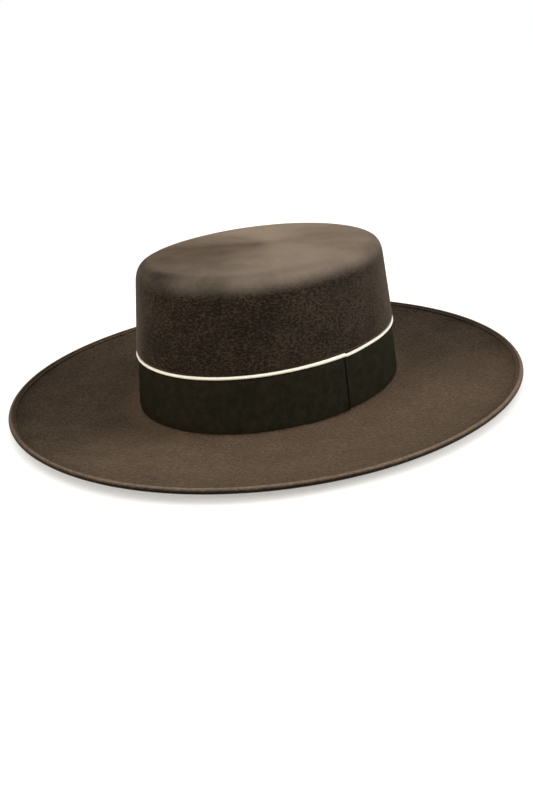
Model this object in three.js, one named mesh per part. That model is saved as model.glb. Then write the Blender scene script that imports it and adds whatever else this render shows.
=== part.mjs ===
import * as THREE from "three";

// A gaucho hat: one blocked felt body with a flat crown and a wide welted brim, a black
// ribbon round the foot of the crown, and a white piping bead along the ribbon's top edge.
// Millimetres, +Z up. The front faces -Y and the wearer's left is +X. Z is 0 on the
// underside of the brim round the head opening, and the brim's outline is centred on X and Y.
// Lengths run along Y and widths along X. Every outline is an oval, given by its half length
// and half width, and the angle round it starts at +X and turns towards +Y.

// Head opening, and how far the crown's centre sits behind the brim's.
const headHalfLength = 99.7;
const headHalfWidth = 81.7;
const crownSetBack = 2.2;

// Felt: its thickness, and the outside bend between crown and brim.
const feltWall = 2.0;
const footBend = 1.5;

// Crown: height to the flat tip, and how far its outside draws in from the foot.
const crownHeight = 104.7;
const waistTaper = 3.2;
const tipTaper = 7.9;
const tipEdgeRadius = 9.7;
const tipDome = 0.8;
const tipFall = 1.27;

// Roll: the felt bends back out over the piping. It starts this far over the ribbon's top
// edge, by this depth, and is done this far above the piping.
const rollStart = 1.4;
const rollDepth = 2.0;
const rollAbovePiping = 2.2;

// Brim: half length and half width to its edge, the flat ring that it rests on, and its curl.
const brimHalfLength = 191.4;
const brimHalfWidth = 178.6;
const restRingWidth = 12.0;
const brimRise = 7.4;
const brimCurl = 1.5;

// Welt: the brim's edge turned up and back on itself, pressed thin at its inner edge.
const weltWidth = 5.0;
const weltStep = 1.0;
const weltGroove = 0.2;

// Ribbon: its end laps over its start, and climbs onto it over the length of the climb.
const ribbonWidth = 37.3;
const ribbonThickness = 1.0;
const ribbonFootGap = 1.2;
const ribbonSway = 0.4;
const ribbonLap = 25.0;
const ribbonClimb = 20.0;
const seamAngle = THREE.MathUtils.degToRad(-4.3);

// Piping: a round bead on the ribbon's top edge, let in behind the ribbon's face. Its end
// swells and stands out a little where the ribbon under it is lapped.
const pipingDiameter = 2.2;
const pipingInset = 1.0;
const pipingEndGap = 0.7;
const pipingEndSwell = 0.2;
const pipingEndOut = 0.7;

// Pieces lie this far apart, so that they touch nowhere.
const clearance = 0.3;

// Fullness of the ovals: 2 is an ellipse, and more is squarer.
const crownFullness = 2.065;
const brimFullness = 2.04;

// How finely the round forms are divided.
const feltSides = 84;
const ribbonColumns = 92;
const pipingColumns = 88;
const pipingSides = 8;
const tipEdgeSteps = 4;
const footBendSteps = 3;
const rimSteps = 4;

const fullTurn = 2 * Math.PI;
const quarterTurn = Math.PI / 2;
const mix = THREE.MathUtils.lerp;
const smooth = THREE.MathUtils.smoothstep;

// Sizes that follow from the ones above.
const lengthOverWidth = headHalfLength - headHalfWidth;
const footHalfLength = headHalfLength + feltWall;
const waistHalfLength = footHalfLength - waistTaper;
const shoulderHalfLength = waistHalfLength + rollDepth;
const tipHalfLength = footHalfLength - tipTaper;
const pipingRadius = pipingDiameter / 2;
const bendTop = feltWall + footBend;
const ribbonBottom = feltWall + ribbonFootGap;
const ribbonTop = ribbonBottom + ribbonWidth;
const shoulderHeight = ribbonTop + clearance + pipingDiameter + rollAbovePiping;
const layerStep = ribbonThickness + clearance;

// A point on an oval of the given sizes, fullness and centre in Y, at an angle and a height.
function ovalPoint({ halfLength, halfWidth, fullness, centreY }, angle, height) {
  const across = Math.cos(angle);
  const along = Math.sin(angle);
  const x = halfWidth * Math.sign(across) * Math.abs(across) ** (2 / fullness);
  const y = halfLength * Math.sign(along) * Math.abs(along) ** (2 / fullness);
  return new THREE.Vector3(x, centreY + y, height);
}

// A point on the crown, whose ovals are narrower than long by one same amount. Towards the
// tip's centre that amount shrinks with the oval.
function crownPoint(halfLength, angle, height) {
  const narrower = Math.min(1, halfLength / (tipHalfLength - tipEdgeRadius)) * lengthOverWidth;
  const oval = {
    halfLength,
    halfWidth: halfLength - narrower,
    fullness: crownFullness,
    centreY: crownSetBack,
  };
  return ovalPoint(oval, angle, height);
}

// The ribbon's top edge is a little higher at the sides than at front and back.
function sway(angle) {
  return ribbonSway * Math.cos(2 * angle);
}

// Outside of the crown in section, from the tip's centre down to the brim, as half length
// and height. The columns sway and fall give the share of the ribbon's sway and of the tip's
// slope that a row follows.
function crownOutside() {
  const rows = [];
  const wallRun = crownHeight - shoulderHeight;
  const wallSlope = (shoulderHalfLength - tipHalfLength) / wallRun;
  const wallLean = Math.atan(wallSlope);
  const arcHeight = crownHeight - tipEdgeRadius;
  const arcHalfLength = tipHalfLength + wallSlope * tipEdgeRadius - tipEdgeRadius / Math.cos(wallLean);

  for (const share of [0, 0.4, 0.8]) {
    const height = crownHeight + tipDome * (1 - share * share);
    rows.push({ half: arcHalfLength * share, height, sway: 0, fall: 1 });
  }
  for (let step = 0; step <= tipEdgeSteps; step++) {
    const turn = mix(quarterTurn, wallLean, step / tipEdgeSteps);
    const half = arcHalfLength + tipEdgeRadius * Math.cos(turn);
    const height = arcHeight + tipEdgeRadius * Math.sin(turn);
    rows.push({ half, height, sway: 0, fall: (height - shoulderHeight) / wallRun });
  }

  const wallShare = 0.5;
  rows.push({
    half: mix(shoulderHalfLength, tipHalfLength, wallShare),
    height: mix(shoulderHeight, crownHeight, wallShare),
    sway: 0,
    fall: wallShare,
  });

  // The roll over the piping eases out from the waist, beside the piping's middle.
  const startShare = rollStart / (shoulderHeight - ribbonTop);
  for (const share of [1, 0.82, 0.7, 0.58, 0.46, startShare, 0]) {
    const half = mix(waistHalfLength, shoulderHalfLength, smooth(share, startShare, 1));
    rows.push({ half, height: mix(ribbonTop, shoulderHeight, share), sway: 1, fall: 0 });
  }

  // The bend into the brim.
  for (let step = 0; step <= footBendSteps; step++) {
    const turn = (quarterTurn * step) / footBendSteps;
    const half = footHalfLength + footBend * (1 - Math.cos(turn));
    rows.push({ half, height: bendTop - footBend * Math.sin(turn), sway: 0, fall: 0 });
  }
  return rows;
}

// The same rows one felt wall further in, along the mean of the two faces that meet there.
function crownInside(outside) {
  return outside.map((row, index) => {
    const before = outside[Math.max(index - 1, 0)];
    const after = outside[Math.min(index + 1, outside.length - 1)];
    const upper = new THREE.Vector2(row.half - before.half, row.height - before.height).normalize();
    const lower = new THREE.Vector2(after.half - row.half, after.height - row.height).normalize();
    const isEnd = index === 0 || index === outside.length - 1;
    const along = isEnd ? new THREE.Vector2(1, 0) : upper.clone().add(lower).normalize();
    const stretch = isEnd ? 1 : 1 / along.dot(lower);
    const half = row.half + feltWall * stretch * along.y;
    const height = row.height - feltWall * stretch * along.x;
    return { ...row, half: index === 0 ? 0 : half, height };
  });
}

// A crown row as a ring of points, with the ribbon's sway and the tip's slope laid on.
function crownRing(row) {
  if (row.half === 0) {
    return [new THREE.Vector3(0, crownSetBack, row.height)];
  }
  return Array.from({ length: feltSides }, (_, side) => {
    const angle = (fullTurn * side) / feltSides;
    const point = crownPoint(row.half, angle, row.height);
    const slope = (point.y - crownSetBack) / tipHalfLength;
    point.z += row.sway * sway(angle) - row.fall * tipFall * slope;
    return point;
  });
}

// Brim outlines in plan: a share of the way from the crown's bend to an oval that lies
// inside the brim's edge by the inset.
const brimStart = footHalfLength + footBend;

function brimRing(share, inset, height) {
  const oval = {
    halfLength: mix(brimStart, brimHalfLength - inset, share),
    halfWidth: mix(brimStart - lengthOverWidth, brimHalfWidth - inset, share),
    fullness: mix(crownFullness, brimFullness, share),
    centreY: mix(crownSetBack, 0, share),
  };
  return Array.from({ length: feltSides }, (_, side) => {
    return ovalPoint(oval, (fullTurn * side) / feltSides, height);
  });
}

// Height of the brim's underside: flat over the resting ring, then curling up to the edge.
function undersideHeight(share, inset) {
  const run = brimHalfLength - brimStart - restRingWidth;
  const reach = mix(brimStart, brimHalfLength - inset, share) - brimStart - restRingWidth;
  return brimRise * Math.max(0, reach / run) ** brimCurl;
}

// The whole felt body as rings, out over the top, round the rim and back inside.
function feltRings() {
  const outside = crownOutside();
  const inside = crownInside(outside);
  const rings = outside.map(crownRing);

  // Top of the brim. The flat share is where the resting ring ends.
  const flatShare = restRingWidth / (brimHalfLength - weltWidth - brimStart);
  const brimShares = [0, 0.25, 0.5, 0.75, 0.9].map((share) => mix(flatShare, 1, share));
  for (const share of brimShares) {
    rings.push(brimRing(share, weltWidth, undersideHeight(share, weltWidth) + feltWall));
  }

  // The welt's inner edge, as insets in welt widths and lifts above the brim's top. The
  // last column says how much of the groove at its foot a row goes down.
  const weltRows = [
    { inset: 1.15, step: 0, groove: 0 },
    { inset: 1.03, step: 0, groove: 1 },
    { inset: 0.98, step: 0.7, groove: 0 },
    { inset: 0.85, step: 1, groove: 0 },
  ];
  for (const { inset, step, groove } of weltRows) {
    const edgeInset = inset * weltWidth;
    const lift = feltWall + step * weltStep - groove * weltGroove;
    rings.push(brimRing(1, edgeInset, undersideHeight(1, edgeInset) + lift));
  }

  // The rim is a half round, two walls thick.
  const rimHeight = undersideHeight(1, feltWall) + feltWall;
  for (let step = 0; step <= rimSteps; step++) {
    const turn = mix(quarterTurn, -quarterTurn, step / rimSteps);
    const inset = feltWall * (1 - Math.cos(turn));
    rings.push(brimRing(1, inset, rimHeight + feltWall * Math.sin(turn)));
  }

  for (const share of brimShares.toReversed()) {
    rings.push(brimRing(share, weltWidth, undersideHeight(share, weltWidth)));
  }
  return [...rings, ...inside.toReversed().map(crownRing)];
}

// Faces between rings of points. A ring of one point is a pole. A loop of rings is closed by
// its poles, and an open run of rings by a fan of faces at each end.
function loftedMesh(rings) {
  const corners = [];
  const faces = [];
  const starts = rings.map((ring) => {
    const start = corners.length / 3;
    ring.forEach((point) => corners.push(point.x, point.y, point.z));
    return start;
  });

  for (let index = 0; index < rings.length - 1; index++) {
    const [upper, lower] = [rings[index], rings[index + 1]];
    const sides = Math.max(upper.length, lower.length);
    for (let side = 0; side < sides; side++) {
      const next = (side + 1) % sides;
      const a = starts[index] + (upper.length === 1 ? 0 : side);
      const b = starts[index + 1] + (lower.length === 1 ? 0 : side);
      const c = starts[index + 1] + (lower.length === 1 ? 0 : next);
      const d = starts[index] + (upper.length === 1 ? 0 : next);
      if (lower.length > 1) {
        faces.push(a, b, c);
      }
      if (upper.length > 1) {
        faces.push(a, c, d);
      }
    }
  }

  const last = rings.length - 1;
  for (let side = 1; side < rings[0].length - 1; side++) {
    faces.push(starts[0], starts[0] + side, starts[0] + side + 1);
  }
  for (let side = 1; side < rings[last].length - 1; side++) {
    faces.push(starts[last], starts[last] + side + 1, starts[last] + side);
  }

  const geometry = new THREE.BufferGeometry();
  geometry.setAttribute("position", new THREE.Float32BufferAttribute(corners, 3));
  geometry.setIndex(faces);
  geometry.computeVertexNormals();
  return geometry;
}

// Half length of the felt's outside under the ribbon, which is straight from bend to waist.
function feltUnderRibbon(height, angle) {
  const share = (height - bendTop) / (ribbonTop + sway(angle) - bendTop);
  return mix(footHalfLength, waistHalfLength, share);
}

// Near the seam the oval runs along Y, so a length there turns by itself over half length.
const lapAngle = ribbonLap / footHalfLength;
const climbAngle = ribbonClimb / footHalfLength;

// The ribbon starts under its own end, goes once round and lies on its start at the lap.
function ribbonRings() {
  const start = seamAngle - lapAngle;
  return Array.from({ length: ribbonColumns + 1 }, (_, column) => {
    const travelled = mix(0, fullTurn + lapAngle, column / ribbonColumns);
    const angle = start + travelled;
    const layer = layerStep * smooth(travelled, fullTurn - climbAngle, fullTurn);
    const top = ribbonTop + sway(angle);
    const middle = mix(ribbonBottom, top, 0.5);
    const edge = (height, outward) => {
      return crownPoint(feltUnderRibbon(height, angle) + clearance + layer + outward, angle, height);
    };
    return [
      edge(ribbonBottom, ribbonThickness),
      edge(middle, ribbonThickness),
      edge(top, ribbonThickness),
      edge(top, 0),
      edge(middle, 0),
      edge(ribbonBottom, 0),
    ];
  });
}

// The piping is a bead with its two ends face to face above the ribbon's end.
function pipingRings() {
  const endGapAngle = pipingEndGap / footHalfLength;
  return Array.from({ length: pipingColumns + 1 }, (_, column) => {
    const travelled = mix(endGapAngle, fullTurn, column / pipingColumns);
    const angle = seamAngle + travelled;
    const lapped = smooth(travelled, fullTurn - lapAngle - climbAngle, fullTurn);
    const radius = pipingRadius + pipingEndSwell * lapped;
    const height = ribbonTop + clearance + radius + sway(angle);
    const ribbonFace = waistHalfLength + clearance + ribbonThickness;
    const half = ribbonFace - pipingInset + radius + pipingEndOut * lapped;
    return Array.from({ length: pipingSides }, (_, side) => {
      const turn = (fullTurn * (side + 0.5)) / pipingSides;
      const outward = radius * Math.cos(turn);
      return crownPoint(half + outward, angle, height + radius * Math.sin(turn));
    });
  });
}

function piece(name, geometry, colour, roughness) {
  const material = new THREE.MeshStandardMaterial({ color: colour, roughness, metalness: 0 });
  material.side = THREE.FrontSide;
  const mesh = new THREE.Mesh(geometry, material);
  mesh.name = name;
  return mesh;
}

const group = new THREE.Group();
group.add(piece("felt_body", loftedMesh(feltRings()), 0x4a3c31, 0.95));
group.add(piece("ribbon_band", loftedMesh(ribbonRings()), 0x1a1815, 0.6));
group.add(piece("white_piping", loftedMesh(pipingRings()), 0xf2eee2, 0.7));

export default group;
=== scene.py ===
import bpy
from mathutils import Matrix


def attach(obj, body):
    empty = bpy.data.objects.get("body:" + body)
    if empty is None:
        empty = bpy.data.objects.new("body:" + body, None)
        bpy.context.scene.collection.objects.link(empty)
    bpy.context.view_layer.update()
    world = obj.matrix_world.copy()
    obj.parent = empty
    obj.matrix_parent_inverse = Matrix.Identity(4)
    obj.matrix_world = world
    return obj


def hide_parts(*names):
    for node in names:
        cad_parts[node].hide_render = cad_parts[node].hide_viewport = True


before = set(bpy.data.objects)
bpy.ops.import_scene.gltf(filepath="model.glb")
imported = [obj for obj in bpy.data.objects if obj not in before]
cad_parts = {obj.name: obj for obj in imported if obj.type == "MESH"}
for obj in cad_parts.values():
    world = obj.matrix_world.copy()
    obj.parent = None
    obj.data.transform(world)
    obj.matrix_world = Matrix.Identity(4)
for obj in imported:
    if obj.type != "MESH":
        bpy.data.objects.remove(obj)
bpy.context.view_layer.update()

import math

import bpy
import numpy as np
from mathutils import Matrix, Vector

# Camera: a short portrait lens 0.73 m away, a little above the hat, in front of the
# wearer's left. It leans 4.6 degrees, as a camera held by hand does.
camera_place = Vector((0.49543, -0.46865, 0.26506))
camera_right = Vector((0.70398, 0.70631, -0.07450))
camera_up = Vector((-0.21831, 0.31502, 0.92364))
camera_lens = 44.16
camera_sensor = 36.0

camera_back = camera_right.cross(camera_up).normalized()
camera_turn = Matrix((camera_right, camera_up, camera_back)).transposed()
camera_data = bpy.data.cameras.new("hat_camera")
camera_data.lens = camera_lens
camera_data.sensor_width = camera_sensor
camera_data.clip_start = 0.01
camera = bpy.data.objects.new("hat_camera", camera_data)
bpy.context.scene.collection.objects.link(camera)
camera.matrix_world = Matrix.Translation(camera_place) @ camera_turn.to_4x4()
bpy.context.scene.camera = camera

# Floor and backdrop: pale matt paper that runs on to a white room, in one even tone, so
# that the brown felt stands clear of it.
floor_half = 4.0
floor_colour = "#d2d1cf"
floor_glow = 0.35


def linear(code):
    """A colour's sRGB hex code as linear red, green, blue and 1: each channel c is c / 12.92 at the
    dark end, and ((c + 0.055) / 1.055) to the power 2.4 above it."""
    channels = [int(code[i : i + 2], 16) / 255 for i in (1, 3, 5)]
    curve = [c / 12.92 if c <= 0.04045 else ((c + 0.055) / 1.055) ** 2.4 for c in channels]
    return (*curve, 1.0)


def add_node(tree, kind, settings=None, values=None, links=None):
    """One node. Settings are its own properties, values the numbers on its inputs, and links the
    outputs that its inputs are joined to."""
    node = tree.nodes.new(kind)
    for name, value in (settings or {}).items():
        setattr(node, name, value)
    for name, value in (values or {}).items():
        node.inputs[name].default_value = value
    for name, output in (links or {}).items():
        tree.links.new(output, node.inputs[name])
    return node


def new_material(name):
    """A material with an empty node tree, and that tree."""
    material = bpy.data.materials.new(name)
    material.use_nodes = True
    material.node_tree.nodes.clear()
    return material, material.node_tree


def white_paper():
    """Matt white paper lit softly from beneath, as on a product table: no gloss, and pale shadows. The
    glow is a picture tone only and lights nothing."""
    material, tree = new_material("matt_white_paper")
    paper = add_node(tree, "ShaderNodeBsdfDiffuse", values={"Color": linear(floor_colour)})
    path = add_node(tree, "ShaderNodeLightPath")
    glow_strength = add_node(
        tree, "ShaderNodeMath",
        settings={"operation": "MULTIPLY"},
        values={1: floor_glow},
        links={0: path.outputs["Is Camera Ray"]},
    )
    glow = add_node(tree, "ShaderNodeEmission", links={"Strength": glow_strength.outputs[0]})
    lit = add_node(tree, "ShaderNodeAddShader", links={0: paper.outputs["BSDF"], 1: glow.outputs["Emission"]})
    add_node(tree, "ShaderNodeOutputMaterial", links={"Surface": lit.outputs["Shader"]})
    return material


floor_mesh = bpy.data.meshes.new("floor")
floor_corners = [(-1, -1, 0), (1, -1, 0), (1, 1, 0), (-1, 1, 0)]
floor_mesh.from_pydata([Vector(corner) * floor_half for corner in floor_corners], [], [(0, 1, 2, 3)])
floor_mesh.materials.append(white_paper())
floor = bpy.data.objects.new("floor", floor_mesh)
bpy.context.scene.collection.objects.link(floor)

# Light: a white room, and wide soft lamps overhead and to the sides, the side ones a little
# warm. Directions are the bearing that the light comes from, from +X towards +Y, and its
# height above the horizon.
room_strength = 0.12
soft_lamps = {
    "overhead": {"bearing": 315, "height": 68, "spread": 80, "strength": 3.3, "tint": "#ffffff"},
    "right": {"bearing": 42, "height": 12, "spread": 40, "strength": 4.6, "tint": "#fffaf0"},
    "left": {"bearing": 265, "height": 12, "spread": 40, "strength": 3.0, "tint": "#fff4dc"},
}

for name, lamp in soft_lamps.items():
    lamp_data = bpy.data.lights.new(name, "SUN")
    lamp_data.energy = lamp["strength"]
    lamp_data.color = linear(lamp["tint"])[:3]
    lamp_data.angle = math.radians(lamp["spread"])
    lamp_object = bpy.data.objects.new(name, lamp_data)
    bearing = math.radians(lamp["bearing"])
    height = math.radians(lamp["height"])
    from_side = Vector((math.cos(bearing), math.sin(bearing), 0)) * math.cos(height)
    towards_lamp = from_side + Vector((0, 0, math.sin(height)))
    lamp_object.rotation_mode = "QUATERNION"
    lamp_object.rotation_quaternion = towards_lamp.to_track_quat("Z", "Y")
    bpy.context.scene.collection.objects.link(lamp_object)

room = bpy.data.worlds.new("white_room")
room.use_nodes = True
room.node_tree.nodes.clear()
room_path = add_node(room.node_tree, "ShaderNodeLightPath")
room_light = add_node(
    room.node_tree, "ShaderNodeMapRange",
    values={"To Min": room_strength, "To Max": 1.0},
    links={"Value": room_path.outputs["Is Camera Ray"]},
)
room_shader = add_node(
    room.node_tree, "ShaderNodeBackground",
    values={"Color": (1, 1, 1, 1)},
    links={"Strength": room_light.outputs["Result"]},
)
add_node(room.node_tree, "ShaderNodeOutputWorld", links={"Surface": room_shader.outputs[0]})
bpy.context.scene.world = room
bpy.context.scene.view_settings.view_transform = "Standard"

# Felt body: stiff brown wool felt, blocked over a wooden form into a flat crown and a wide
# brim, all in one piece. The brim's edge is turned up and back on itself as a narrow welt
# and sewn down. It replaces the plain felt solid, with the same section and outlines.
mm = 0.001
head_half_length = 99.7
head_half_width = 81.7
crown_set_back = 2.2
felt_wall = 2.0
foot_bend = 1.5
crown_height = 104.7
waist_taper = 3.2
tip_taper = 7.9
tip_edge_radius = 9.7
tip_edge_reach = 13.0
tip_edge_pull = 0.75
tip_dome = 0.8
tip_fall = 1.27
roll_start = 1.4
roll_depth = 2.0
roll_above_piping = 2.2
brim_half_length = 191.4
brim_half_width = 178.6
rest_ring_width = 12.0
brim_rise = 7.4
brim_curl = 1.5
welt_width = 5.0
welt_step = 1.0
welt_groove = 0.2
stitch_inset = 3.3
stitch_valley = 0.3
# Painted highlight on the rim's crest, painted shade under the rim, and where on the rim's turn the one fades
# into the other.
crest_painted_highlight = 0.35
rim_shaded = 0.4
rim_fade_start = 0.4
rim_fade_run = 1.4
# Painted shade on the side of the brim turned away from the light: its depth, the bearing of the lit side,
# the angle where it starts and the angle it runs over, and the share of the brim next to the crown over which
# it fades in.
away_side_shade = 0.15
lit_side_angle = math.radians(335)
shade_fade_start = 0.85
shade_fade_run = 0.65
shade_foot_share = 0.2
ribbon_width = 37.3
ribbon_foot_gap = 1.2
ribbon_sway = 0.4
piping_diameter = 2.2
clearance = 0.3
crown_fullness = 2.065
brim_fullness = 2.04
felt_columns = 400

length_over_width = head_half_length - head_half_width
foot_half = head_half_length + felt_wall
waist_half = foot_half - waist_taper
shoulder_half = waist_half + roll_depth
tip_half = foot_half - tip_taper
bend_top = felt_wall + foot_bend
ribbon_bottom = felt_wall + ribbon_foot_gap
ribbon_top = ribbon_bottom + ribbon_width
shoulder_height = ribbon_top + clearance + piping_diameter + roll_above_piping
top_inset = 1.35 * welt_width
under_inset = 0.6 * welt_width


def ease(share):
    """The smooth step from 0 to 1: 3 s squared less 2 s cubed, of the share held to 0 and 1."""
    held = np.clip(share, 0, 1)
    return held * held * (3 - 2 * held)


def mix(start, end, share):
    """The value that lies the given share of the way from start to end."""
    return start + (end - start) * share


def oval(half_length, half_width, fullness, centre_y, angle):
    """An oval's x and y at an angle: the half width times cos, and the half length times sin, each
    raised to the power 2 / fullness with its sign kept, and y shifted by the centre."""
    across = np.cos(angle)
    along = np.sin(angle)
    power = 2 / fullness
    x = half_width * np.sign(across) * np.abs(across) ** power
    y = centre_y + half_length * np.sign(along) * np.abs(along) ** power
    return x, y


def crown_point(half, height, angle):
    """A point on the crown, in mm. Its ovals are narrower than long by one same amount, which shrinks
    with the oval on the tip."""
    narrower = np.minimum(1, half / (tip_half - tip_edge_radius)) * length_over_width
    x, y = oval(half, half - narrower, crown_fullness, crown_set_back, angle)
    return np.stack(np.broadcast_arrays(x, y, height), axis=-1)


def sway(angle):
    """How much higher the ribbon's top edge is at the sides: the sway times cos of twice the angle."""
    return ribbon_sway * np.cos(2 * angle)


def crown_section():
    """The crown's outside in section from the tip's centre to the brim, as rows of half length,
    height, and the shares of the ribbon's sway and the tip's fall that a row follows. The tip is a low
    parabola. Its edge is a cubic Bezier curve between equal distances on either side of the corner,
    with its two middle points drawn towards that corner. The wall is straight, the roll over the
    piping a smooth step, the wall under the ribbon straight again, and the bend a quarter circle."""
    wall_run = crown_height - shoulder_height
    wall_slope = (shoulder_half - tip_half) / wall_run
    edge_half = tip_half - tip_edge_reach

    share = np.linspace(0.03, 1, 16)[:-1]
    tip = np.stack([edge_half * share, crown_height + tip_dome * (1 - share**2)], 1)
    corner = np.array([tip_half, crown_height])
    inward = np.array([-tip_edge_reach, 0])
    down = np.array([wall_slope, -1]) / math.hypot(wall_slope, 1) * tip_edge_reach
    share = np.linspace(0, 1, 22)[:, None]
    before = (1 - share) ** 3 + 3 * (1 - tip_edge_pull) * share * (1 - share) ** 2
    beyond = share**3 + 3 * (1 - tip_edge_pull) * share**2 * (1 - share)
    arc = corner + before * inward + beyond * down
    wall_height = np.linspace(arc[-1, 1], shoulder_height, 16)[1:-1]
    wall = np.stack([shoulder_half - wall_slope * (wall_height - shoulder_height), wall_height], 1)
    share = np.linspace(1, 0, 19)
    start_share = roll_start / (shoulder_height - ribbon_top)
    rolled = mix(waist_half, shoulder_half, ease((share - start_share) / (1 - start_share)))
    roll = np.stack([rolled, mix(ribbon_top, shoulder_height, share)], 1)
    share = np.linspace(0, 1, 7)[1:-1]
    under = np.stack([mix(waist_half, foot_half, share), mix(ribbon_top, bend_top, share)], 1)
    turn = np.linspace(0, math.pi / 2, 7)
    bend = np.stack([foot_half + foot_bend * (1 - np.cos(turn)), bend_top - foot_bend * np.sin(turn)], 1)

    rows = np.concatenate([tip, arc, wall, roll, under, bend])
    swayed = np.zeros(len(rows))
    fallen = np.zeros(len(rows))
    first_roll = len(tip) + len(arc) + len(wall)
    swayed[first_roll : first_roll + len(roll)] = 1
    swayed[first_roll + len(roll) : first_roll + len(roll) + len(under)] = 1 - share
    fallen[:first_roll] = np.minimum(1, (rows[:first_roll, 1] - shoulder_height) / wall_run)
    return np.column_stack([rows, swayed, fallen])


def inside_of(section):
    """The same rows one felt wall further in: each is moved along the section's normal, which is its
    direction turned a quarter."""
    direction = np.gradient(section[:, :2], axis=0)
    direction /= np.linalg.norm(direction, axis=1)[:, None]
    direction[[0, -1]] = (1, 0)
    inner = section.copy()
    inner[:, 0] += felt_wall * direction[:, 1]
    inner[:, 1] -= felt_wall * direction[:, 0]
    return inner


def crown_surface(section, angle):
    """The crown's rows carried round the oval. Each row's height takes its share of the ribbon's sway,
    and less its share of the tip's fall times the distance behind the centre."""
    half, height, swayed, fallen = (column[:, None] for column in section.T)
    points = crown_point(half, height, angle[None, :])
    slope = (points[..., 1] - crown_set_back) / tip_half
    points[..., 2] += swayed * sway(angle)[None, :] - fallen * tip_fall * slope
    return points


brim_start = foot_half + foot_bend


def brim_surface(share, inset, height, angle):
    """The brim's rows: ovals that lie a share of the way from the crown's bend to the brim's edge less
    the inset, in size, centre and fullness alike."""
    share, inset, height = (column[:, None] for column in np.broadcast_arrays(share, inset, height))
    x, y = oval(
        mix(brim_start, brim_half_length - inset, share),
        mix(brim_start - length_over_width, brim_half_width - inset, share),
        mix(crown_fullness, brim_fullness, share),
        mix(crown_set_back, 0, share),
        angle[None, :],
    )
    return np.stack(np.broadcast_arrays(x, y, height), axis=-1)


def underside_height(share, inset):
    """Height of the brim's underside: nothing over the ring that it rests on, and then the rise times
    the share of the way to the edge to the power of the curl."""
    run = brim_half_length - brim_start - rest_ring_width
    reach = mix(brim_start, brim_half_length - inset, share) - brim_start - rest_ring_width
    return brim_rise * np.maximum(0, reach / run) ** brim_curl


def closed_mesh(name, rings, flow=None):
    """A mesh over one strand or several, each a row of rings of points. Squares join neighbouring rings,
    and a fan to the middle of a strand's first and of its last ring closes its ends. Flow gives each
    point's place along and across the strand in metres, with a ring's first point given again at its
    end, and becomes the UV map."""
    rings = rings.reshape(-1, *rings.shape[-3:])
    strands, count, around = rings.shape[:3]
    index = np.arange(strands * count * around).reshape(strands, count, around)
    after = np.roll(index, -1, axis=2)
    squares = np.stack([index[:, :-1], index[:, 1:], after[:, 1:], after[:, :-1]], axis=-1)
    middles = rings[:, [0, -1]].mean(axis=2)
    hubs = index.size + np.arange(2 * strands).reshape(strands, 2, 1)
    first, last = np.broadcast_to(hubs, (strands, 2, around)).swapaxes(0, 1)
    at_first = [first, index[:, 0], after[:, 0]]
    at_last = [last, after[:, -1], index[:, -1]]
    fans = np.stack([at_first, at_last]).transpose(0, 2, 3, 1)
    corners = np.concatenate([rings.reshape(-1, 3), middles.reshape(-1, 3)]) * mm
    faces = squares.reshape(-1, 4).tolist() + fans.reshape(-1, 3).tolist()
    mesh = bpy.data.meshes.new(name)
    mesh.from_pydata(corners.tolist(), [], faces)
    mesh.polygons.foreach_set("use_smooth", np.ones(len(faces), dtype=bool))
    if flow is not None:
        flow = flow.reshape(strands, count, around + 1, 2)
        now, later = flow[:, :, :-1], flow[:, :, 1:]
        on_squares = np.stack([now[:, :-1], now[:, 1:], later[:, 1:], later[:, :-1]], axis=3)
        starts = np.stack([now[:, 0], now[:, 0], later[:, 0]], axis=2)
        ends = np.stack([now[:, -1], later[:, -1], now[:, -1]], axis=2)
        on_all = np.concatenate([on_squares.reshape(-1), starts.reshape(-1), ends.reshape(-1)])
        mesh.uv_layers.new(name="flow").data.foreach_set("uv", on_all.astype(np.float32))
    mesh.update()
    return mesh


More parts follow.
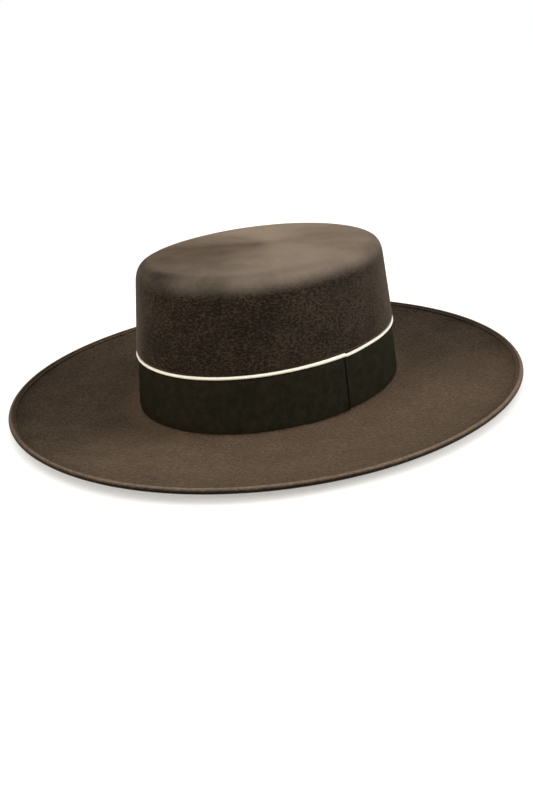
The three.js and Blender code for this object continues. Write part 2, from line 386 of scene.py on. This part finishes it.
def felt_rings():
    """All rows of the felt: out over the tip, down the crown, out over the brim, round the welt and
    the rim, and back inside. With them goes each point's painted light and shade: the painted highlights
    and shade that its row adds at the welt and rim, less, on the brim, a painted shade: the row's share
    times a smooth step of the angle away from the side that faces the light."""
    angle = np.linspace(0, 2 * math.pi, felt_columns, endpoint=False)
    outside = crown_section()
    top_share = np.linspace(0, 1, 24)[1:]
    top_height = underside_height(top_share, top_inset) + felt_wall
    top = brim_surface(top_share, top_inset, top_height, angle)

    # The welt in section, as insets from the edge, heights over the brim's top and painted light and shade:
    # painted shade in the groove at its inner edge and in the seam's valley, painted highlights on the ridges
    # and on the outer bead's crest. Its inner edge is pressed thin, and the seam draws a valley.
    welt_section = np.array(
        [
            (welt_width + 1.2, 0.0, 0.0),
            (welt_width + 0.6, -0.5 * welt_groove, 0.0),
            (welt_width + 0.2, -welt_groove, -0.1),
            (welt_width + 0.05, -0.6 * welt_groove, -0.1),
            (welt_width - 0.05, 0.35 * welt_step, 0.0),
            (welt_width - 0.2, 0.7 * welt_step, 0.1),
            (welt_width - 0.45, 0.92 * welt_step, 0.1),
            (welt_width - 0.75, welt_step, 0.05),
            (welt_width - 1.1, 0.97 * welt_step, 0.0),
            (welt_width - 1.45, 0.85 * welt_step, 0.0),
            (stitch_inset, welt_step - stitch_valley, -0.05),
            (stitch_inset - 0.35, welt_step, 0.0),
            (stitch_inset - 0.7, mix(welt_step, felt_wall, 0.55), 0.15),
            (stitch_inset - 1.0, mix(welt_step, felt_wall, 0.85), crest_painted_highlight),
        ]
    )
    inset, lift, welt_painted_shading = welt_section.T
    one = np.ones(len(inset))
    welt = brim_surface(one, inset, underside_height(one, inset) + felt_wall + lift, angle)

    # The rim is a half round two felt walls high, with a painted highlight on top and painted shade below.
    turn = np.linspace(math.pi / 2, -math.pi / 2, 15)
    rim_inset = felt_wall * (1 - np.cos(turn))
    rim_height = underside_height(1.0, felt_wall) + felt_wall + felt_wall * np.sin(turn)
    rim = brim_surface(np.ones(len(turn)), rim_inset, rim_height, angle)
    faded = ease((math.pi / 2 - rim_fade_start - turn) / rim_fade_run)
    rim_painted_shading = mix(crest_painted_highlight, -rim_shaded, faded)

    under_share = np.linspace(1, 0, 24)[:-1]
    under = brim_surface(under_share, under_inset, underside_height(under_share, under_inset), angle)
    inner = crown_surface(inside_of(outside)[::-1], angle)
    rows = [crown_surface(outside, angle), top, welt, rim, under, inner]
    on_crown = 0 * outside[:, 0]
    row_painted_shading = np.concatenate([on_crown, 0 * top_share, welt_painted_shading, rim_painted_shading, 0 * under_share, on_crown])
    on_top = ease(top_share / shade_foot_share)
    below = ease(under_share / shade_foot_share)
    painted_nap_light = [on_crown, on_top, one, 1 + 0 * turn, below, on_crown]
    # Painted shade on the side of the brim turned away from the light.
    turned_away = np.arccos(np.cos(angle - lit_side_angle))
    away_shade = away_side_shade * ease((turned_away - shade_fade_start) / shade_fade_run)
    return np.concatenate(rows), row_painted_shading[:, None] - np.concatenate(painted_nap_light)[:, None] * away_shade[None, :]


def place_piece(mesh, material, slot, *replaced):
    """An object at the origin for a finished mesh, with its material, riding on the hat's one
    body, in place of the solids named. The slot is not used."""
    mesh.materials.append(material)
    piece = bpy.data.objects.new(mesh.name, mesh)
    bpy.context.scene.collection.objects.link(piece)
    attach(piece, "root")
    if replaced:
        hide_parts(*replaced)
    return piece


felt_dark = "#0f0b06"
felt_light = "#42362a"
# The third colour is a painted highlight, for the rim's crest.
felt_painted_highlight = "#675b4f"
felt_dark_at = 0.26
felt_light_at = 0.64
mottle_size = 2.1
mottle_stretch = 2.0
mottle_share = 0.8
cloud_size = 22.0
cloud_share = 0.2
# Painted light on the brim and painted shade on the crown's side, blended by height.
brim_painted_light = 0.075
crown_painted_shade = 0.18
grain_size = 0.7
relief_mottle = 1.5
relief_strength = 0.6
relief_depth = 0.3
# The tip's painted sheen: the whole top painted paler, with two light fans and a dark one round the point its
# fibres were laid about.
tip_sheen_foot = 13.0
tip_sheen_top = 0.5
whorl_painted_shade = "#0f0b08"
whorl_painted_sheen = "#62584e"
whorl_centre = (0.001, 0.0139, 0.0)
whorl_sheen_fans = (-0.866, 0.5, 0.0)
whorl_sheen_lean = (0.5, 0.866, 0.0)
whorl_rays = 5.0
whorl_point = 14.0
whorl_base = -0.25
whorl_mottle = 0.2
whorl_clouds = 0.6
whorl_streaks = 0.3
whorl_sheen_lean_share = 0.22
whorl_sheen_fan_share = 0.66
whorl_middle = 0.65
bloom_tint = "#857668"


def brushed_felt():
    """Brushed wool felt: matt brown with a soft mottle of matted fibres, a grain that roughens the
    surface, drawn coarser than the real fibres so that it shows, and a pale bloom of loose fibre at a
    flat angle. Its tone is the point's own painted light and shade, plus painted light on the brim and
    less painted shade on the crown's side, plus a share of the mottle and one of wide clouds. The
    crown's flat top had its fibres laid round and round one point, and their sheen is painted on it: the
    top is painted paler, with two light fans and a dark one. How far it goes from the painted dark to
    the painted sheen is a base, plus shares of the mottle, the clouds, a streak of noise for each
    direction, the cosine of the angle from the side it leans to, and the squared cosine of the angle
    from the fans. Close to the point it fades to a middle value."""
    material, tree = new_material("brushed_brown_wool_felt")
    place = add_node(tree, "ShaderNodeTexCoord").outputs["Object"]
    matting = add_node(
        tree, "ShaderNodeVectorMath",
        settings={"operation": "MULTIPLY"},
        values={1: (1, 1, mottle_stretch)},
        links={0: place},
    )
    mottle = add_node(
        tree, "ShaderNodeTexNoise",
        values={"Scale": 1 / (mottle_size * mm), "Detail": 3.0, "Roughness": 0.7},
        links={"Vector": matting.outputs["Vector"]},
    )
    height = add_node(tree, "ShaderNodeSeparateXYZ", links={"Vector": place})
    # Painted light on the brim and painted shade on the crown's side, blended by height.
    painted_light_by_height = add_node(
        tree, "ShaderNodeMapRange",
        values={
            "From Min": bend_top * mm,
            "From Max": ribbon_top * mm,
            "To Min": brim_painted_light,
            "To Max": -crown_painted_shade,
        },
        links={"Value": height.outputs["Z"]},
    )
    # The point's painted light and shade, from its row and from its side of the brim.
    painted_light_and_shade = add_node(tree, "ShaderNodeAttribute", settings={"attribute_name": "painted_light_and_shade"})
    with_painted_light = add_node(
        tree, "ShaderNodeMath",
        settings={"operation": "ADD"},
        links={0: painted_light_and_shade.outputs["Fac"], 1: painted_light_by_height.outputs["Result"]},
    )
    clouds = add_node(
        tree, "ShaderNodeTexNoise",
        values={"Scale": 1 / (cloud_size * mm), "Detail": 2.0, "Roughness": 0.6},
        links={"Vector": place},
    )
    patchy = add_node(
        tree, "ShaderNodeMath",
        settings={"operation": "MULTIPLY_ADD"},
        values={1: cloud_share},
        links={0: clouds.outputs["Fac"], 2: with_painted_light.outputs[0]},
    )
    tone = add_node(
        tree, "ShaderNodeMath",
        settings={"operation": "MULTIPLY_ADD"},
        values={1: mottle_share},
        links={0: mottle.outputs["Fac"], 2: patchy.outputs[0]},
    )
    matted = add_node(tree, "ShaderNodeValToRGB", links={"Fac": tone.outputs[0]})
    matted.color_ramp.elements[0].position = felt_dark_at
    matted.color_ramp.elements[0].color = linear(felt_dark)
    matted.color_ramp.elements[1].position = felt_light_at
    matted.color_ramp.elements[1].color = linear(felt_light)
    matted.color_ramp.elements.new(1.0).color = linear(felt_painted_highlight)

    # Painted sheen of the tip's fibres, as fans round the whorl's centre.
    from_centre = add_node(
        tree, "ShaderNodeVectorMath",
        settings={"operation": "SUBTRACT"},
        values={1: whorl_centre},
        links={0: place},
    )
    flat = add_node(
        tree, "ShaderNodeVectorMath",
        settings={"operation": "MULTIPLY"},
        values={1: (1, 1, 0)},
        links={0: from_centre.outputs["Vector"]},
    )
    direction = add_node(
        tree, "ShaderNodeVectorMath",
        settings={"operation": "NORMALIZE"},
        links={0: flat.outputs["Vector"]},
    )
    rays = add_node(
        tree, "ShaderNodeTexNoise",
        values={"Scale": whorl_rays, "Detail": 4.0, "Roughness": 0.7},
        links={"Vector": direction.outputs["Vector"]},
    )
    fans = add_node(
        tree, "ShaderNodeVectorMath",
        settings={"operation": "DOT_PRODUCT"},
        values={1: whorl_sheen_fans},
        links={0: direction.outputs["Vector"]},
    )
    lean = add_node(
        tree, "ShaderNodeVectorMath",
        settings={"operation": "DOT_PRODUCT"},
        values={1: whorl_sheen_lean},
        links={0: direction.outputs["Vector"]},
    )
    squared = add_node(
        tree, "ShaderNodeMath",
        settings={"operation": "MULTIPLY"},
        links={0: fans.outputs["Value"], 1: fans.outputs["Value"]},
    )
    flecked = add_node(
        tree, "ShaderNodeMath",
        settings={"operation": "MULTIPLY_ADD"},
        values={1: whorl_mottle, 2: whorl_base},
        links={0: mottle.outputs["Fac"]},
    )
    clouded = add_node(
        tree, "ShaderNodeMath",
        settings={"operation": "MULTIPLY_ADD"},
        values={1: whorl_clouds},
        links={0: clouds.outputs["Fac"], 2: flecked.outputs[0]},
    )
    streaked = add_node(
        tree, "ShaderNodeMath",
        settings={"operation": "MULTIPLY_ADD"},
        values={1: whorl_streaks},
        links={0: rays.outputs["Fac"], 2: clouded.outputs[0]},
    )
    leaning = add_node(
        tree, "ShaderNodeMath",
        settings={"operation": "MULTIPLY_ADD"},
        values={1: whorl_sheen_lean_share},
        links={0: lean.outputs["Value"], 2: streaked.outputs[0]},
    )
    fanned = add_node(
        tree, "ShaderNodeMath",
        settings={"operation": "MULTIPLY_ADD"},
        values={1: whorl_sheen_fan_share},
        links={0: squared.outputs[0], 2: leaning.outputs[0]},
    )
    radius = add_node(
        tree, "ShaderNodeVectorMath",
        settings={"operation": "LENGTH"},
        links={0: flat.outputs["Vector"]},
    )
    from_point = add_node(
        tree, "ShaderNodeMapRange",
        settings={"interpolation_type": "SMOOTHSTEP"},
        values={"From Max": whorl_point * mm},
        links={"Value": radius.outputs["Value"]},
    )
    whorl_sheen_share = add_node(
        tree, "ShaderNodeMix",
        settings={"data_type": "FLOAT"},
        values={2: whorl_middle},
        links={0: from_point.outputs["Result"], 3: fanned.outputs[0]},
    )
    painted_nap_light = add_node(
        tree, "ShaderNodeMix",
        settings={"data_type": "RGBA"},
        values={6: linear(whorl_painted_shade), 7: linear(whorl_painted_sheen)},
        links={0: whorl_sheen_share.outputs[0]},
    )
    # The painted sheen covers the tip and fades out down its edge.
    on_top = add_node(
        tree, "ShaderNodeMapRange",
        settings={"interpolation_type": "SMOOTHSTEP"},
        values={
            "From Min": (crown_height - tip_sheen_foot) * mm,
            "From Max": (crown_height - tip_sheen_top) * mm,
        },
        links={"Value": height.outputs["Z"]},
    )
    colour = add_node(
        tree, "ShaderNodeMix",
        settings={"data_type": "RGBA"},
        links={0: on_top.outputs["Result"], 6: matted.outputs["Color"], 7: painted_nap_light.outputs[2]},
    )
    grain = add_node(
        tree, "ShaderNodeTexNoise",
        values={"Scale": 1 / (grain_size * mm), "Detail": 2.0, "Roughness": 0.7},
        links={"Vector": place},
    )
    relief = add_node(
        tree, "ShaderNodeMath",
        settings={"operation": "MULTIPLY_ADD"},
        values={1: relief_mottle},
        links={0: mottle.outputs["Fac"], 2: grain.outputs["Fac"]},
    )
    bump = add_node(
        tree, "ShaderNodeBump",
        values={"Strength": relief_strength, "Distance": relief_depth * mm},
        links={"Height": relief.outputs["Value"]},
    )
    shader = add_node(
        tree, "ShaderNodeBsdfPrincipled",
        values={
            "Roughness": 0.8,
            "IOR": 1.45,
            "Specular IOR Level": 0.08,
            "Sheen Weight": 0.76,
            "Sheen Roughness": 0.32,
            "Sheen Tint": linear(bloom_tint),
        },
        links={"Base Color": colour.outputs[2], "Normal": bump.outputs["Normal"]},
    )
    add_node(tree, "ShaderNodeOutputMaterial", links={"Surface": shader.outputs["BSDF"]})
    return material


felt_rows, felt_painted_shading = felt_rings()
felt_mesh = closed_mesh("felt_hat_body", felt_rows)
# Each point's painted light and shade goes on the mesh as an attribute.
point_painted_shading = np.append(felt_painted_shading, (0.0, 0.0)).astype(np.float32)
felt_mesh.attributes.new("painted_light_and_shade", "FLOAT", "POINT").data.foreach_set("value", point_painted_shading)
place_piece(felt_mesh, brushed_felt(), "felt", "felt_body")

# Welt seam: a lockstitch of brown polyester thread that holds the turned-up edge down, one
# row of stitches in the valley on top and one on the underside, drawn tight into the felt.
stitch_pitch = 3.0
stitch_length = 2.5
thread_radius = 0.26
thread_sunk = 0.55
thread_dip = 1.6
thread_taper = 0.6
thread_rings = 7
thread_sides = 6
thread_brown = "#4a3a2d"


def stitch_rows():
    """Stitches at even distances along the brim's oval. Each is a tube whose middle stands clear of the
    felt and whose ends dip into it: its height falls with the square of the distance from the middle,
    and its thickness with the fourth power."""
    angle = np.linspace(0, 2 * math.pi, 4001)
    path = brim_surface([1.0], [stitch_inset], [0.0], angle)[0]
    walked = np.concatenate([[0], np.cumsum(np.linalg.norm(np.diff(path, axis=0), axis=1))])
    stitches = round(walked[-1] / stitch_pitch)
    middle = np.arange(stitches) * walked[-1] / stitches
    share = np.linspace(-1, 1, thread_rings)
    distance = (middle[:, None] + share[None, :] * stitch_length / 2) % walked[-1]
    place = np.stack([np.interp(distance, walked, path[:, axis]) for axis in (0, 1)], axis=-1)
    further = (distance + 1) % walked[-1]
    ahead = np.stack([np.interp(further, walked, path[:, axis]) for axis in (0, 1)], axis=-1)
    along = (ahead - place) / np.linalg.norm(ahead - place, axis=-1, keepdims=True)
    outward = np.stack([along[..., 1], -along[..., 0]], axis=-1)[:, :, None, :]
    radius = thread_radius * (1 - thread_taper * share**4)[None, :, None]
    turn = np.linspace(0, 2 * math.pi, thread_sides, endpoint=False)[None, None, :]
    rows = []
    surface = underside_height(1.0, stitch_inset)
    on_top = surface + felt_wall + welt_step - stitch_valley
    for height, side in ((on_top, 1), (surface, -1)):
        rise = side * thread_radius * (thread_sunk - thread_dip * share**2)[None, :, None]
        flat = place[:, :, None, :] + outward * (radius * np.cos(turn))[..., None]
        level = np.broadcast_to(height + rise + radius * np.sin(turn), flat.shape[:-1])
        rows.append(np.concatenate([flat, level[..., None]], axis=-1))
    return np.concatenate(rows)


def brown_thread():
    """Polyester sewing thread in the felt's own brown, with a slight satin gloss."""
    material, tree = new_material("brown_polyester_thread")
    shader = add_node(
        tree, "ShaderNodeBsdfPrincipled",
        values={"Base Color": linear(thread_brown), "Roughness": 0.5, "IOR": 1.5},
    )
    add_node(tree, "ShaderNodeOutputMaterial", links={"Surface": shader.outputs["BSDF"]})
    return material


place_piece(closed_mesh("welt_stitches", stitch_rows()), brown_thread(), "felt")

# Grosgrain ribbon: a ribbed black strip 37 mm wide, drawn tight round the foot of the crown.
# Its end is turned under and lies over its start, sewn down on the wearer's left.
ribbon_thickness = 0.75
ribbon_face = 1.3
ribbon_solid = 1.0
ribbon_lap = 25.0
ribbon_climb = 20.0
seam_angle = math.radians(-4.3)
ribbon_columns = 640
ribbon_hug = 0.1
layer_gap = 0.05
edge_reach = 3.0
selvedge_width = 0.9
selvedge_blend = 0.4
selvedge_height = 0.8
start_dip = 0.9
start_dip_run = 30.0
rib_pitch = 1.2
rib_depth = 0.16
dye_patch = 6.0
# Painted shadow along the lapped end at the seam: its width, and the share of it at full darkness.
seam_shade_width = 1.7
seam_full_share = 0.7
seam_painted_shadow = "#020201"
ribbon_dark = "#13110c"
ribbon_light = "#1e1c15"
ribbon_gloss = "#fff0d0"

lap_angle = ribbon_lap / foot_half
climb_angle = ribbon_climb / foot_half


def dipped(beyond_seam):
    """How much lower the ribbon's start hangs: the full dip as far as the seam, and from there on less
    by a smooth step, for an angle beyond the seam."""
    return start_dip * (1 - ease(beyond_seam * foot_half / start_dip_run))


def ribbon_rings():
    """The ribbon's section carried along it, and its place along and across the ribbon. The section goes
    up the outside, over a half round edge, down the inside and under another. It stands off the felt
    in the middle and hugs it at both edges, and its second layer is eased out by one thickness. Its
    start hangs a little lower than its lapped end."""
    travelled = np.linspace(0, 2 * math.pi + lap_angle, ribbon_columns)
    angle = (seam_angle - lap_angle + travelled)[:, None]
    climbed = ease((travelled - 2 * math.pi + climb_angle) / climb_angle)
    layer = (ribbon_thickness + layer_gap) * climbed[:, None]
    top = ribbon_top + sway(angle) - dipped(travelled - lap_angle)[:, None]
    half_thick = ribbon_thickness / 2
    rise = np.linspace(0, 1, 19)
    turn = np.linspace(0, math.pi, 7)[1:-1]
    from_edge = ribbon_width * np.minimum(rise, 1 - rise)
    hug = ribbon_hug + (ribbon_face - ribbon_thickness - ribbon_hug) * ease(from_edge / edge_reach)
    round_out = ribbon_hug + half_thick * (1 + np.cos(turn))
    share = np.concatenate([rise, 1 + 0 * turn, rise[::-1], 0 * turn])
    outward = np.concatenate([hug + ribbon_thickness, round_out, hug[::-1], round_out[::-1]])
    beyond = half_thick * np.concatenate([0 * rise, np.sin(turn), 0 * rise, -np.sin(turn)])
    height = mix(ribbon_bottom + half_thick, top - half_thick, share) + beyond
    wall_share = (height - bend_top) / (top - bend_top)
    half = mix(foot_half, waist_half, wall_share) + layer + outward
    rings = crown_point(half, height, angle)
    step = np.linalg.norm(np.diff(rings[:, 9], axis=0), axis=1)
    walked = np.concatenate([[0], np.cumsum(step)])[:, None]
    across = np.append(share, share[0])[None, :] * ribbon_width
    return rings, np.stack(np.broadcast_arrays(walked, across), axis=-1) * mm


def black_grosgrain(ribbon_end):
    """Black grosgrain: round ribs of weft across the ribbon, which catch the light on their crowns and
    go dark between, a smooth woven edge along both sides, a slight unevenness of the dye, and a
    painted shadow line where the turned-under end is sewn down over the start, at the ribbon's end in
    metres. A rib's height is the size of a sine of the way along. Real ribs are finer, and are drawn
    coarser here to show."""
    material, tree = new_material("black_grosgrain_ribbon")
    flow = add_node(tree, "ShaderNodeUVMap", settings={"uv_map": "flow"})
    place = add_node(tree, "ShaderNodeSeparateXYZ", links={"Vector": flow.outputs["UV"]})
    phase = add_node(
        tree, "ShaderNodeMath",
        settings={"operation": "MULTIPLY"},
        values={1: math.pi / (rib_pitch * mm)},
        links={0: place.outputs["X"]},
    )
    wave = add_node(tree, "ShaderNodeMath", settings={"operation": "SINE"}, links={0: phase.outputs[0]})
    rib = add_node(tree, "ShaderNodeMath", settings={"operation": "ABSOLUTE"}, links={0: wave.outputs[0]})
    from_middle = add_node(
        tree, "ShaderNodeMath",
        settings={"operation": "SUBTRACT"},
        values={1: ribbon_width / 2 * mm},
        links={0: place.outputs["Y"]},
    )
    out = add_node(
        tree, "ShaderNodeMath",
        settings={"operation": "ABSOLUTE"},
        links={0: from_middle.outputs[0]},
    )
    edge = add_node(
        tree, "ShaderNodeMapRange",
        settings={"interpolation_type": "SMOOTHSTEP"},
        values={
            "From Min": (ribbon_width / 2 - selvedge_width - selvedge_blend) * mm,
            "From Max": (ribbon_width / 2 - selvedge_width) * mm,
        },
        links={"Value": out.outputs[0]},
    )
    ribbed = add_node(
        tree, "ShaderNodeMix",
        settings={"data_type": "FLOAT"},
        values={3: selvedge_height},
        links={0: edge.outputs["Result"], 2: rib.outputs[0]},
    )
    bump = add_node(
        tree, "ShaderNodeBump",
        values={"Strength": 1.0, "Distance": rib_depth * mm},
        links={"Height": ribbed.outputs[0]},
    )
    object_place = add_node(tree, "ShaderNodeTexCoord").outputs["Object"]
    dye = add_node(
        tree, "ShaderNodeTexNoise",
        values={"Scale": 1 / (dye_patch * mm), "Detail": 4.0, "Roughness": 0.65},
        links={"Vector": object_place},
    )
    colour = add_node(tree, "ShaderNodeValToRGB", links={"Fac": dye.outputs["Fac"]})
    colour.color_ramp.elements[0].position = 0.3
    colour.color_ramp.elements[0].color = linear(ribbon_dark)
    colour.color_ramp.elements[1].position = 0.7
    colour.color_ramp.elements[1].color = linear(ribbon_light)
    # Painted shadow of the lapped end along the seam.
    seam_shadow_mask = add_node(
        tree, "ShaderNodeMapRange",
        values={
            "From Min": ribbon_end - seam_shade_width * mm,
            "From Max": ribbon_end - seam_full_share * seam_shade_width * mm,
        },
        links={"Value": place.outputs["X"]},
    )
    seam_shadowed = add_node(
        tree, "ShaderNodeMix",
        settings={"data_type": "RGBA"},
        values={7: linear(seam_painted_shadow)},
        links={0: seam_shadow_mask.outputs["Result"], 6: colour.outputs["Color"]},
    )
    shader = add_node(
        tree, "ShaderNodeBsdfPrincipled",
        values={
            "Roughness": 0.6,
            "IOR": 1.5,
            "Specular IOR Level": 0.02,
            "Specular Tint": linear(ribbon_gloss),
        },
        links={"Base Color": seam_shadowed.outputs[2], "Normal": bump.outputs["Normal"]},
    )
    add_node(tree, "ShaderNodeOutputMaterial", links={"Surface": shader.outputs["BSDF"]})
    return material


ribbon_points, ribbon_flow = ribbon_rings()
ribbon_mesh = closed_mesh("grosgrain_ribbon", ribbon_points, ribbon_flow)
ribbon_end = float(ribbon_flow[-1, 0, 0])
ribbon = place_piece(ribbon_mesh, black_grosgrain(ribbon_end), "ribbon", "ribbon_band")

# White piping: a cord covered with cotton cut on the bias, sewn in behind the ribbon's top
# edge so that only its round bead shows. Its two ends meet over the lap.
piping_inset = 1.0
piping_end_gap = 0.7
piping_end_swell = 0.2
piping_end_out = 0.7
piping_end_slant = 0.6
piping_columns = 1000
piping_sides = 14
ridge_pitch = 1.8
ridge_depth = 0.05
piping_white = "#cfcabf"
# Painted shade for the hollows between the ridges.
piping_hollow_shade = "#bfb9ab"


def piping_rings():
    """A circle carried along the ribbon's top edge, and its place along and round the bead. Towards its
    lapped end the bead swells and is eased out, and its cut ends slant by the sine of the turn."""
    travelled = np.linspace(piping_end_gap / foot_half, 2 * math.pi, piping_columns)[:, None]
    turn = np.linspace(0, 2 * math.pi, piping_sides, endpoint=False)[None, :]
    to_end = np.minimum(travelled - travelled[0], travelled[-1] - travelled) * foot_half
    slant = piping_end_slant * np.clip(1 - to_end / (2 * piping_end_slant), 0, 1)
    angle = seam_angle + travelled - slant * np.sin(turn) / foot_half
    run = lap_angle + climb_angle
    lapped = ease((travelled - 2 * math.pi + run) / run)
    radius = piping_diameter / 2 + piping_end_swell * lapped
    face = waist_half + clearance + ribbon_solid
    half = face - piping_inset + radius + piping_end_out * lapped + radius * np.cos(turn)
    height = ribbon_top + clearance + radius * (1 + np.sin(turn)) + sway(angle) - dipped(travelled)
    rings = crown_point(half, height, angle)
    step = np.linalg.norm(np.diff(rings.mean(axis=1), axis=0), axis=1)
    walked = np.concatenate([[0], np.cumsum(step)])[:, None] * mm
    around = np.linspace(0, 1, piping_sides + 1)[None, :]
    return rings, np.stack(np.broadcast_arrays(walked, around), axis=-1)


def white_cotton():
    """Off-white cotton cut on the bias: its threads wind round the bead as slanting ridges, with painted
    shade in the hollows between. A ridge's height is the sine of the turns made along and round the
    bead. Real threads are finer, and are drawn coarser here to show."""
    material, tree = new_material("white_bias_cotton")
    flow = add_node(tree, "ShaderNodeUVMap", settings={"uv_map": "flow"})
    place = add_node(tree, "ShaderNodeSeparateXYZ", links={"Vector": flow.outputs["UV"]})
    turns = add_node(
        tree, "ShaderNodeMath",
        settings={"operation": "MULTIPLY_ADD"},
        values={1: 1 / (ridge_pitch * mm)},
        links={0: place.outputs["X"], 2: place.outputs["Y"]},
    )
    phase = add_node(
        tree, "ShaderNodeMath",
        settings={"operation": "MULTIPLY"},
        values={1: 2 * math.pi},
        links={0: turns.outputs[0]},
    )
    wave = add_node(tree, "ShaderNodeMath", settings={"operation": "SINE"}, links={0: phase.outputs[0]})
    bump = add_node(
        tree, "ShaderNodeBump",
        values={"Strength": 1.0, "Distance": ridge_depth * mm},
        links={"Height": wave.outputs[0]},
    )
    # Painted shade in the hollows between the ridges.
    crest = add_node(
        tree, "ShaderNodeMapRange",
        values={"From Min": -1.0},
        links={"Value": wave.outputs[0]},
    )
    colour = add_node(tree, "ShaderNodeValToRGB", links={"Fac": crest.outputs["Result"]})
    colour.color_ramp.elements[0].color = linear(piping_hollow_shade)
    colour.color_ramp.elements[1].position = 0.5
    colour.color_ramp.elements[1].color = linear(piping_white)
    shader = add_node(
        tree, "ShaderNodeBsdfPrincipled",
        values={"Roughness": 0.75, "IOR": 1.5, "Specular IOR Level": 0.3},
        links={"Base Color": colour.outputs["Color"], "Normal": bump.outputs["Normal"]},
    )
    add_node(tree, "ShaderNodeOutputMaterial", links={"Surface": shader.outputs["BSDF"]})
    return material


place_piece(closed_mesh("piping_bead", *piping_rings()), white_cotton(), "piping", "white_piping")
